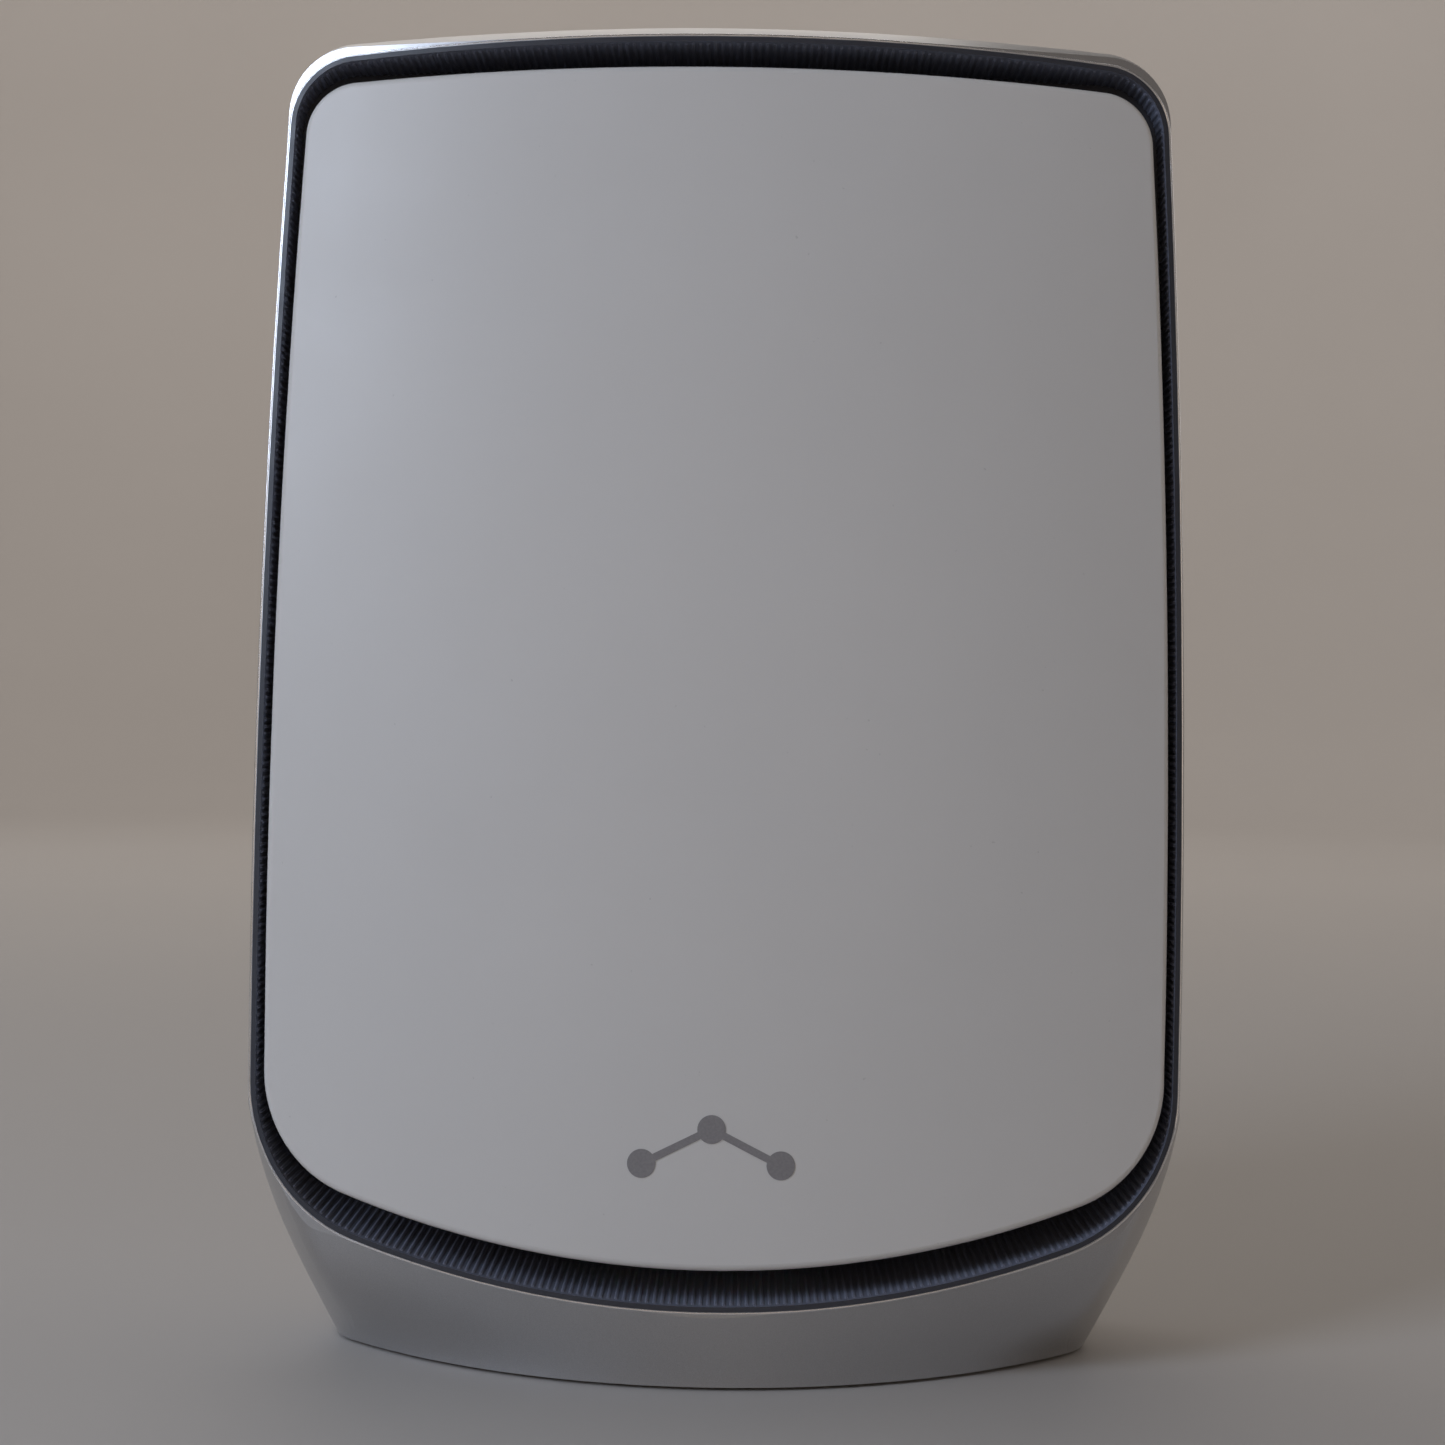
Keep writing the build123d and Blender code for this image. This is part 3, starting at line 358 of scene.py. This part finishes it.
def printed_ink(name, color):
    """Pad-printed ink: a slightly uneven layer that thins to pin-holes in places."""
    g = Graph(name)
    uneven = g.ramp(g.noise(0.5 * MM, 3.0), 0, 1)
    base = g.mix(uneven, shade(color, 0.92), shade(color, 1.08))
    g.set(Base_Color=base, Roughness=g.ramp(g.noise(1.5 * MM, 3.0), 0.38, 0.50))
    g.set(Normal=g.bump(g.noise(0.2 * MM, 2.0), 0.006 * MM, 0.5))
    return g


def label_film(name, color):
    """Satin polyester film, with the faintest waviness of its glue."""
    g = moulded(name, color, gloss=0.32, grain=0.15 * MM, depth=0.003 * MM, tint=0.02, wear=1.05)
    g.set(Normal=g.bump(g.noise(5 * MM, 2.0), 0.05 * MM, 0.3))
    return g


def clear_plastic(name, color):
    """Polished clear rod with slight haze."""
    g = moulded(name, color, gloss=0.12, tint=0.01, wear=1.0)
    g.set(Transmission_Weight=0.9, IOR=1.49)
    return g


def light_lens(name, color):
    """Small moulded lens over a light that is off."""
    g = moulded(name, color, gloss=0.2, grain=0.3 * MM, depth=0.005 * MM, tint=0.03, wear=1.1)
    g.set(Subsurface_Weight=0.3, Subsurface_Scale=0.8 * MM, Coat_Weight=0.4, Coat_Roughness=0.1)
    return g


def milky_plastic(name, color):
    """Light-scattering acrylic."""
    g = moulded(name, color, gloss=0.35, grain=0.4 * MM, depth=0.008 * MM, tint=0.02, wear=1.05)
    g.set(Subsurface_Weight=0.5, Subsurface_Scale=2.0 * MM)
    return g


MAKERS = {
    "white_shell": white_shell,
    "silver_shell": silver_shell,
    "liner_plastic": liner_plastic,
    "grey_print": printed_ink,
    "dark_plastic": spark_plastic,
    "rubber_pad": rubber,
    "screw_steel": steel,
    "label_film": label_film,
    "circuit_board": circuit_board,
    "antenna_board": circuit_board,
    "tinned_steel": tinned,
    "chip_epoxy": epoxy,
    "silicone_pad": gel_pad,
    "heatsink_alloy": blasted,
    "gold_contact": steel,
    "port_plastic": plain_plastic,
    "button_plastic": plain_plastic,
    "clear_plastic": clear_plastic,
    "led_lens": light_lens,
    "milky_plastic": milky_plastic,
    "cable_jacket": jacket,
    "plug_plastic": plain_plastic,
}


def make_materials():
    """One procedural material for each of the record's slots."""
    made = {}
    for entry in frame["record"]["materials"]:
        slot = entry["slot"]
        made[slot] = MAKERS[slot](slot, entry["base_color"]).material
        if slot == "silver_shell":
            # The lip's silver, painted lighter as a highlight.
            made["lip_silver_painted_highlight"] = lip_silver_painted_highlight("lip_silver_painted_highlight", entry["base_color"]).material
    return made


def dress_nodes(materials):
    """Gives every CAD node its slot's material."""
    for entry in frame["record"]["subparts"]:
        mesh = frame["nodes"][entry["node"]].data
        mesh.materials.clear()
        mesh.materials.append(materials[entry["material_slot"]])


# ---------------------------------------------------------------- pieces

def add_piece(name, mesh, slot, materials, body="housing", finish=None):
    """Links a finished mesh as a piece that rides on a body; finish is a variant of its slot's material."""
    obj = bpy.data.objects.new(name, mesh)
    bpy.context.scene.collection.objects.link(obj)
    mesh.materials.append(materials[finish or slot])
    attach(obj, body)
    return obj


def section_loops(node, y):
    """Closed loops of points where a node crosses the plane at y, the tallest loop first."""
    cut = bmesh.new()
    cut.from_mesh(frame["nodes"][node].data)
    bmesh.ops.remove_doubles(cut, verts=cut.verts[:], dist=0.001 * MM)
    found = bmesh.ops.bisect_plane(
        cut, geom=cut.verts[:] + cut.edges[:] + cut.faces[:], plane_co=(0, y, 0), plane_no=(0, 1, 0),
    )
    links = {}
    for item in found["geom_cut"]:
        if isinstance(item, bmesh.types.BMEdge):
            first, second = item.verts
            links.setdefault(first, []).append(second)
            links.setdefault(second, []).append(first)
    loops = []
    left = dict.fromkeys(links)
    while left:
        here = next(iter(left))
        loop = []
        while here is not None:
            loop.append(here.co.copy())
            del left[here]
            here = next((vert for vert in links[here] if vert in left), None)
        loops.append(loop)
    cut.free()
    return sorted(loops, key=lambda loop: min(point.z for point in loop))


def even_stations(loop, spacing):
    """Points spaced evenly round a closed loop, each with its direction along the loop."""
    ends = loop[1:] + loop[:1]
    lengths = [(b - a).length for a, b in zip(loop, ends)]
    count = round(sum(lengths) / spacing)
    step = sum(lengths) / count
    stations = []
    passed = 0.0
    for start, end, length in zip(loop, ends, lengths):
        while len(stations) < count and len(stations) * step <= passed + length:
            share = (len(stations) * step - passed) / max(length, 1e-9)
            stations.append((start.lerp(end, share), (end - start).normalized()))
        passed += length
    return stations


def node_tree(node):
    """A CAD node's mesh, ready for ray casts."""
    shape = bmesh.new()
    shape.from_mesh(frame["nodes"][node].data)
    tree = BVHTree.FromBMesh(shape)
    shape.free()
    return tree


def outward(side):
    """The way out of the object on its front or rear."""
    return -1 if side == "front" else 1


def into_opening(point, along, centre):
    """Direction in the front view, square to the outline, that points into the opening."""
    inward = along.cross(Vector((0, 1, 0)))
    return inward if inward.dot(centre - point) > 0 else -inward


def drop_on(tree, spot, out):
    """Where a straight line in from outside first meets a surface, at a place in the front view."""
    return tree.ray_cast(Vector((spot.x, out, spot.z)), Vector((0, -out, 0)))[0]


def make_vent_ribs(side, materials):
    """Fine ribs on the inner face of a liner's wall, from its floor almost to its rim."""
    node = side + "_vent_liner"
    low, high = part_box(node)
    out = outward(side)
    floor_y = LINER_FLOOR_Y * out
    loop = section_loops(node, floor_y * 2)[1]
    tree = node_tree(node)
    verts = []
    faces = []
    for point, along in even_stations(loop, RIB_PITCH):
        inward = into_opening(point, along, (low + high) / 2)
        rim = drop_on(tree, point - inward * (LINER_WALL / 2), out)
        front_y = rim.y - out * RIB_RIM
        first = len(verts)
        for y, tall in ((floor_y, 1.0), (front_y - out * RIB_HEIGHT, 1.0), (front_y, 0.3)):
            for step in range(RIB_POINTS):
                turn = pi * step / (RIB_POINTS - 1)
                rise = (RIB_HEIGHT + RIB_SUNK) * tall * sin(turn) - RIB_SUNK
                spot = point - along * (RIB_HALF * cos(turn)) + inward * rise
                verts.append((spot.x, y, spot.z))
        for row in (first, first + RIB_POINTS):
            for step in range(RIB_POINTS):
                beside = (step + 1) % RIB_POINTS
                faces.append((row + step, row + beside, row + RIB_POINTS + beside, row + RIB_POINTS + step))
        faces.append(tuple(range(first + RIB_POINTS - 1, first - 1, -1)))
        faces.append(tuple(range(first + 2 * RIB_POINTS, first + 3 * RIB_POINTS)))
    return add_shape(side + "_vent_ribs", verts, faces, "liner_plastic", materials)


def make_lip(side, materials):
    """Rounded silver edge along the sleeve's opening, in the lip finish that carries a painted highlight."""
    node = side + "_vent_liner"
    low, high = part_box(node)
    out = outward(side)
    loop = section_loops(node, LINER_FLOOR_Y * out * 2)[0]
    tree = node_tree("center_frame")
    verts = []
    for point, along in even_stations(loop, LIP_STEP):
        inward = into_opening(point, along, (low + high) / 2)
        middle = point - inward * LIP_OUT
        middle.y = drop_on(tree, middle, out).y + out * (LIP_PROUD - LIP_R)
        for step in range(LIP_SIDES):
            turn = 2 * pi * step / LIP_SIDES
            verts.append(middle + inward * (LIP_R * cos(turn)) + Vector((0, LIP_R * sin(turn), 0)))
    rings = len(verts) // LIP_SIDES
    faces = []
    for ring in range(rings):
        here = ring * LIP_SIDES
        there = (ring + 1) % rings * LIP_SIDES
        for step in range(LIP_SIDES):
            beside = (step + 1) % LIP_SIDES
            faces.append((here + step, here + beside, there + beside, there + step))
    return add_shape(side + "_lip", verts, faces, "silver_shell", materials, finish="lip_silver_painted_highlight")


# ---------------------------------------------------------------- printed marks

class Print:
    """Thin raised ink on a flat face: shapes drawn with a right and an up direction."""

    def __init__(self, face, right, up, lift):
        self.face, self.right, self.up, self.lift = face, Vector(right), Vector(up), Vector(lift)
        self.verts = []
        self.faces = []

    def polygon(self, points):
        """A closed flat shape, its points in order round it."""
        first = len(self.verts)
        count = len(points)
        for level in (0.0, PRINT_THICK):
            for x, z in points:
                self.verts.append(self.face + self.right * x + self.up * z + self.lift * level)
        self.faces.append(tuple(range(first + count - 1, first - 1, -1)))
        self.faces.append(tuple(range(first + count, first + 2 * count)))
        for step in range(count):
            beside = (step + 1) % count
            self.faces.append((first + step, first + beside, first + count + beside, first + count + step))

    def bar(self, start, end, line=PRINT_LINE):
        start, end = Vector(start), Vector(end)
        side = (end - start).normalized().orthogonal() * (line / 2)
        self.polygon([start - side, end - side, end + side, start + side])

    def disc(self, centre, radius):
        x, z = centre
        self.polygon([(x + radius * cos(turn), z + radius * sin(turn)) for turn in turns(0, 2 * pi)[:-1]])

    def arc(self, centre, radius, start, end, line=PRINT_LINE):
        """Part of a ring, in short overlapping steps."""
        steps = turns(start, end)
        for here, there in zip(steps, steps[1:]):
            corners = []
            for turn, reach in ((here, -1), (there, -1), (there, 1), (here, 1)):
                r = radius + reach * line / 2
                corners.append((centre[0] + r * cos(turn), centre[1] + r * sin(turn)))
            self.polygon(corners)

    def finish(self, name, materials, body="housing"):
        return add_shape(name, self.verts, self.faces, "grey_print", materials, body)


def turns(start, end):
    """Evenly spaced angles, both ends included."""
    return [start + (end - start) * step / ROUND_STEPS for step in range(ROUND_STEPS + 1)]


def back_print(x, y, z):
    """A print on the port panel, which faces the back, so its right is -X."""
    return Print(Vector((x, y, z)), (-1, 0, 0), (0, 0, 1), (0, 1, 0))


def make_port_marks(materials):
    """Plain symbols: a tree over each network socket, a plug over the inlet, a ring round the pinhole."""
    panel_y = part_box("ethernet_jack_1")[1].y
    mark_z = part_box("ethernet_jack_1")[1].z + MARK_ABOVE
    size = MARK_SIZE
    for number in range(1, 5):
        low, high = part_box(f"ethernet_jack_{number}")
        ink = back_print((low.x + high.x) / 2, panel_y, mark_z)
        box = MARK_BOX
        for x, z in ((0, size), (-size, -size), (size, -size)):
            ink.polygon([(x - box, z - box), (x + box, z - box), (x + box, z + box), (x - box, z + box)])
        ink.bar((0, size - box), (0, 0))
        ink.bar((-size - PRINT_LINE / 2, 0), (size + PRINT_LINE / 2, 0))
        for x in (-size, size):
            ink.bar((x, 0), (x, box - size))
        ink.finish(f"port_mark_{number}", materials)
    low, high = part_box("dc_jack")
    ink = back_print((low.x + high.x) / 2, panel_y, mark_z)
    ink.arc((0, 0), size, radians(-140), radians(140))
    ink.disc((0, 0), size * 0.35)
    ink.bar((-2.2 * size, 0), (-1.2 * size, 0))
    ink.bar((0.4 * size, 0), (2.2 * size, 0))
    ink.finish("power_mark", materials)
    low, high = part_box("reset_plunger")
    ink = back_print((low.x + high.x) / 2, panel_y, (low.z + high.z) / 2)
    ink.arc((0, 0), high.x - low.x - RESET_RING_INSIDE, 0, 2 * pi)
    ink.finish("reset_mark", materials)


def make_sync_mark(materials):
    """Two arrows that chase each other round the button."""
    low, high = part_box("sync_button")
    ink = back_print((low.x + high.x) / 2, high.y, (low.z + high.z) / 2)
    radius = ARROW_R
    line = ARROW_LINE
    for flip in (0, pi):
        ink.arc((0, 0), radius, flip + radians(20), flip + radians(150), line)
        tip = flip + radians(178)
        root = flip + radians(150)
        corners = [(radius * cos(tip), radius * sin(tip))]
        for reach in (1, -1):
            r = radius + reach * 1.9 * line
            corners.append((r * cos(root), r * sin(root)))
        ink.polygon(corners)
    ink.finish("sync_mark", materials, "sync_button")


def make_label_print(materials):
    """Blank form on the label under the foot: a border and a few rules."""
    low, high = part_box("rating_label")
    half_x = (high.x - low.x) / 2 - LABEL_MARGIN
    half_y = (high.y - low.y) / 2 - LABEL_MARGIN
    ink = Print(Vector((0, 0, low.z)), (1, 0, 0), (0, -1, 0), (0, 0, -1))
    for side in (-1, 1):
        ink.bar((-half_x, side * half_y), (half_x, side * half_y))
        ink.bar((side * half_x, -half_y), (side * half_x, half_y))
    for share in (-0.45, 0.1):
        ink.bar((-half_x, share * half_y), (half_x, share * half_y))
    ink.bar((half_x * 0.3, -half_y), (half_x * 0.3, half_y * 0.1))
    ink.finish("label_print", materials)


def make_port_lights(materials):
    """Two small lenses over each network socket, beside its latch notch."""
    wide, tall = PORT_LIGHT
    for number in range(1, 5):
        low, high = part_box(f"ethernet_jack_{number}")
        shape = bmesh.new()
        for aside in (-PORT_LIGHT_ASIDE, PORT_LIGHT_ASIDE):
            spot = Vector(((low.x + high.x) / 2 + aside, high.y - PORT_LIGHT_SUNK, high.z - PORT_LIGHT_UNDER))
            size = Matrix.Diagonal((wide, PORT_LIGHT_DEEP, tall, 1))
            cube = bmesh.ops.create_cube(shape, size=1.0, matrix=Matrix.Translation(spot) @ size)
            edges = {edge for vert in cube["verts"] for edge in vert.link_edges}
            bmesh.ops.bevel(shape, geom=list(edges), offset=PORT_LIGHT_EDGE, segments=3, affect="EDGES")
        mesh = bpy.data.meshes.new(f"port_lights_{number}")
        shape.to_mesh(mesh)
        shape.free()
        tidy_normals(mesh)
        add_piece(mesh.name, mesh, "led_lens", materials)


def make_feet(materials):
    """Rubber pads with a rounded rim and two grooves, in place of the plain ones."""
    low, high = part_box("rubber_feet")
    radius = PAD_R
    profile = [
        (0, high.z), (radius, high.z), (radius, low.z + 0.4 * MM), (radius - 0.1 * MM, low.z + 0.12 * MM),
        (radius - 0.4 * MM, low.z),
    ]
    for groove in PAD_GROOVES:
        profile += [(groove + GROOVE_MOUTH, low.z), (groove + GROOVE_FLOOR, low.z + GROOVE_DEEP)]
        profile += [(groove - GROOVE_FLOOR, low.z + GROOVE_DEEP), (groove - GROOVE_MOUTH, low.z)]
    profile.append((0, low.z))
    verts = []
    faces = []
    for x in (low.x + radius, high.x - radius):
        for y in (low.y + radius, high.y - radius):
            lathe(verts, faces, Vector((x, y, 0)), profile)
    feet = add_shape("rubber_feet_grooved", verts, faces, "rubber_pad", materials)
    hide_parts("rubber_feet")


def lathe(verts, faces, centre, profile, sides=PAD_SIDES):
    """A profile of (radius, height) turned about a vertical axis; its ends lie on the axis."""
    first = len(verts)
    top, *rings, bottom = profile
    verts.append(centre + Vector((0, 0, top[1])))
    for radius, z in rings:
        for side in range(sides):
            turn = 2 * pi * side / sides
            verts.append(centre + Vector((radius * cos(turn), radius * sin(turn), z)))
    verts.append(centre + Vector((0, 0, bottom[1])))
    last_ring = len(verts) - 1 - sides
    for side in range(sides):
        beside = (side + 1) % sides
        faces.append((first, first + 1 + side, first + 1 + beside))
        faces.append((len(verts) - 1, last_ring + beside, last_ring + side))
        for ring in range(len(rings) - 1):
            here = first + 1 + ring * sides
            faces.append((here + side, here + sides + side, here + sides + beside, here + beside))


def add_shape(name, verts, faces, slot, materials, body="housing", finish=None):
    """A piece made from plain lists of points and faces."""
    mesh = bpy.data.meshes.new(name)
    mesh.from_pydata(verts, [], faces)
    tidy_normals(mesh)
    return add_piece(name, mesh, slot, materials, body, finish)


def tidy_normals(mesh):
    """Faces point outwards, and only edges over the sharp angle stay sharp."""
    shape = bmesh.new()
    shape.from_mesh(mesh)
    bmesh.ops.recalc_face_normals(shape, faces=shape.faces[:])
    for face in shape.faces:
        face.smooth = True
    for edge in shape.edges:
        edge.smooth = edge.is_manifold and edge.calc_face_angle(0.0) < SHARP_ANGLE
    shape.to_mesh(mesh)
    shape.free()


# ---------------------------------------------------------------- stage

def make_camera():
    yaw, pitch, roll = radians(CAMERA_YAW), radians(CAMERA_PITCH), radians(CAMERA_ROLL)
    ahead = Vector((sin(yaw) * cos(pitch), cos(yaw) * cos(pitch), sin(pitch)))
    right = Vector((cos(yaw), -sin(yaw), 0))
    up = right.cross(ahead)
    camera_x = cos(roll) * right + sin(roll) * up
    camera_y = -sin(roll) * right + cos(roll) * up
    rotation = Matrix((camera_x, camera_y, -ahead)).transposed().to_4x4()
    data = bpy.data.cameras.new("camera")
    data.lens = LENS_MM
    data.sensor_width = SENSOR_MM
    data.clip_start = 0.02
    camera = bpy.data.objects.new("camera", data)
    camera.matrix_world = Matrix.Translation((CAMERA_ASIDE, -CAMERA_AWAY, CAMERA_HEIGHT)) @ rotation
    bpy.context.scene.collection.objects.link(camera)
    bpy.context.scene.camera = camera


def area_light(name, place, target, size, power, color):
    """A soft rectangular light aimed at a point and hidden from the camera."""
    data = bpy.data.lights.new(name, "AREA")
    data.shape = "RECTANGLE"
    data.size, data.size_y = size
    data.energy = power
    data.color = color
    light = bpy.data.objects.new(name, data)
    light.location = place
    light.visible_camera = False
    light.rotation_euler = (Vector(target) - Vector(place)).to_track_quat("-Z", "Y").to_euler()
    bpy.context.scene.collection.objects.link(light)


def make_stage():
    """Pale floor whose rim curves up into a wall all round."""
    profile = [(FLOOR_R * step / FLOOR_RINGS, 0.0) for step in range(FLOOR_RINGS + 1)]
    for step in range(1, RIM_STEPS + 1):
        turn = pi / 2 * step / RIM_STEPS
        profile.append((FLOOR_R + RIM_R * sin(turn), RIM_R * (1 - cos(turn))))
    profile.append((FLOOR_R + RIM_R, WALL_TOP))
    verts = []
    faces = []
    for radius, z in profile:
        for side in range(BOWL_SIDES):
            turn = 2 * pi * side / BOWL_SIDES
            verts.append((radius * cos(turn), radius * sin(turn), z))
    for ring in range(len(profile) - 1):
        for side in range(BOWL_SIDES):
            here = ring * BOWL_SIDES
            beside = (side + 1) % BOWL_SIDES
            faces.append((here + side, here + beside, here + BOWL_SIDES + beside, here + BOWL_SIDES + side))
    mesh = bpy.data.meshes.new("studio_bowl")
    mesh.from_pydata(verts, [], faces[BOWL_SIDES:])
    shape = bmesh.new()
    shape.from_mesh(mesh)
    bmesh.ops.delete(shape, geom=[vert for vert in shape.verts if not vert.link_faces], context="VERTS")
    inner = [edge for edge in shape.edges if edge.is_boundary and edge.verts[0].co.z < RIM_R]
    bmesh.ops.contextual_create(shape, geom=inner)
    for face in shape.faces:
        face.smooth = True
    shape.to_mesh(mesh)
    shape.free()
    bowl = bpy.data.objects.new("studio_bowl", mesh)
    bpy.context.scene.collection.objects.link(bowl)
    g = Graph("pale_floor")
    tone = g.ramp(g.noise(0.6, 3.0), 0, 1)
    g.set(Base_Color=g.mix(tone, [0.52, 0.495, 0.47, 1], [0.54, 0.515, 0.49, 1]), Roughness=0.6)
    mesh.materials.append(g.material)


def make_lights():
    """A cool window to the left, soft lights at the sides, front and back, and a lit wall all round."""
    scene = bpy.context.scene
    scene.view_settings.view_transform = "Standard"
    world = bpy.data.worlds.new("studio")
    world.use_nodes = True
    sky = world.node_tree.nodes["Background"]
    sky.inputs["Color"].default_value = (1.0, 0.95, 0.90, 1)
    sky.inputs["Strength"].default_value = 0.05
    scene.world = world
    target = LIGHT_TARGET
    area_light("window", (-0.72, -0.62, 0.62), target, (0.35, 0.5), 4.0, (0.70, 0.81, 1.0))
    area_light("side_window", (-1.4, 0.7, 0.9), target, (0.9, 0.9), 2.0, (0.80, 0.90, 1.0))
    area_light("side_lamp", (1.4, 0.3, 0.8), target, (0.9, 0.9), 1.6, (1.0, 0.94, 0.90))
    area_light("front_fill", (-0.1, -1.8, 0.42), target, (1.6, 0.5), 1.5, (1.0, 0.80, 0.62))
    area_light("back_window", (-0.4, 1.2, 1.35), target, (1.4, 0.7), 2.4, (1.0, 0.94, 0.88))
    for side in range(4):
        turn = side * pi / 2
        forth = Vector((sin(turn), cos(turn), 0))
        watts = BACK_WASH if side == 0 else SIDE_WASH
        place = forth * WASH_AT[0] + Vector((0, 0, WASH_AT[1]))
        aim = forth * WASH_TO[0] + Vector((0, 0, WASH_TO[1]))
        area_light(f"wall_wash_{side}", place, aim, (3.0, 0.6), watts, (1.0, 0.93, 0.88))


materials = make_materials()
dress_nodes(materials)
for side in ("front", "rear"):
    make_vent_ribs(side, materials)
    make_lip(side, materials)
make_port_marks(materials)
make_port_lights(materials)
make_sync_mark(materials)
make_label_print(materials)
make_feet(materials)
make_stage()
make_lights()
make_camera()
